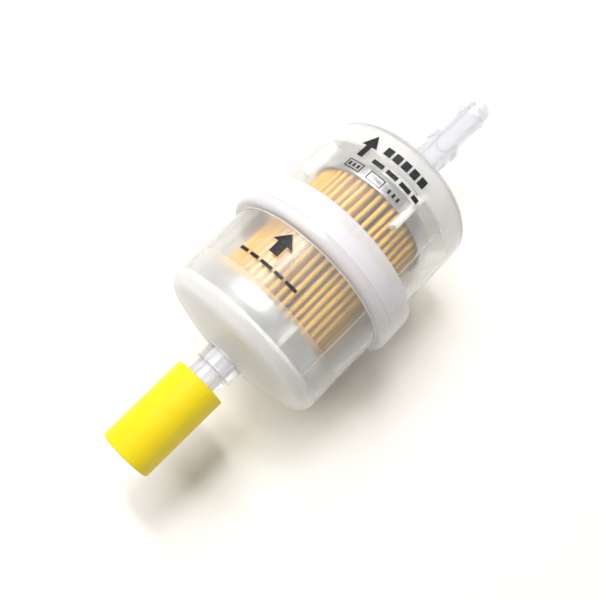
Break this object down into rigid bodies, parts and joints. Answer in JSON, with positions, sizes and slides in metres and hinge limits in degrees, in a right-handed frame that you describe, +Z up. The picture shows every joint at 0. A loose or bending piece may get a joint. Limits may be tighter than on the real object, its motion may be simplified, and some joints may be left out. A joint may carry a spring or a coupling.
{
  "type": "fuel filter",
  "caption": "In-line plastic fuel filter: two clear welded bowls round a pleated paper element, a hose spigot at each end, and a pull-off transit cap.",
  "frame": {"origin": "on the flow axis, in the middle of the weld band's width", "axes": "+X along the flow axis from the capped inlet spigot to the bare outlet spigot, +Z up with the filter lying on its weld band, +Y to the left of the flow"},
  "size_m": [0.14, 0.0538, 0.0538],
  "materials": {
    "clear_nylon": "natural translucent nylon, glossy, slightly milky where thick",
    "tinplate": "bright pressed tinplate",
    "potting_resin": "cast resin",
    "filter_paper": "tan resin-impregnated filter paper",
    "seal_rubber": "black fuel-resistant rubber",
    "yellow_polythene": "satin yellow polythene"
  },
  "bodies": {
    "filter": {"inlet_bowl": "clear_nylon", "outlet_bowl": "clear_nylon", "weld_ring": "clear_nylon", "inlet_end_cap": "tinplate", "outlet_end_cap": "tinplate", "inlet_potting": "potting_resin", "outlet_potting": "potting_resin", "pleated_paper": "filter_paper", "seam_clip": "tinplate", "support_tube": "tinplate", "outlet_seal": "seal_rubber"},
    "cap": {"transit_cap": "yellow_polythene"}
  },
  "joints": [
    {"name": "cap_pull", "type": "slide", "parent": "filter", "child": "cap", "axis": [-1, 0, 0], "range_m": [0, 0.03]}
  ]
}
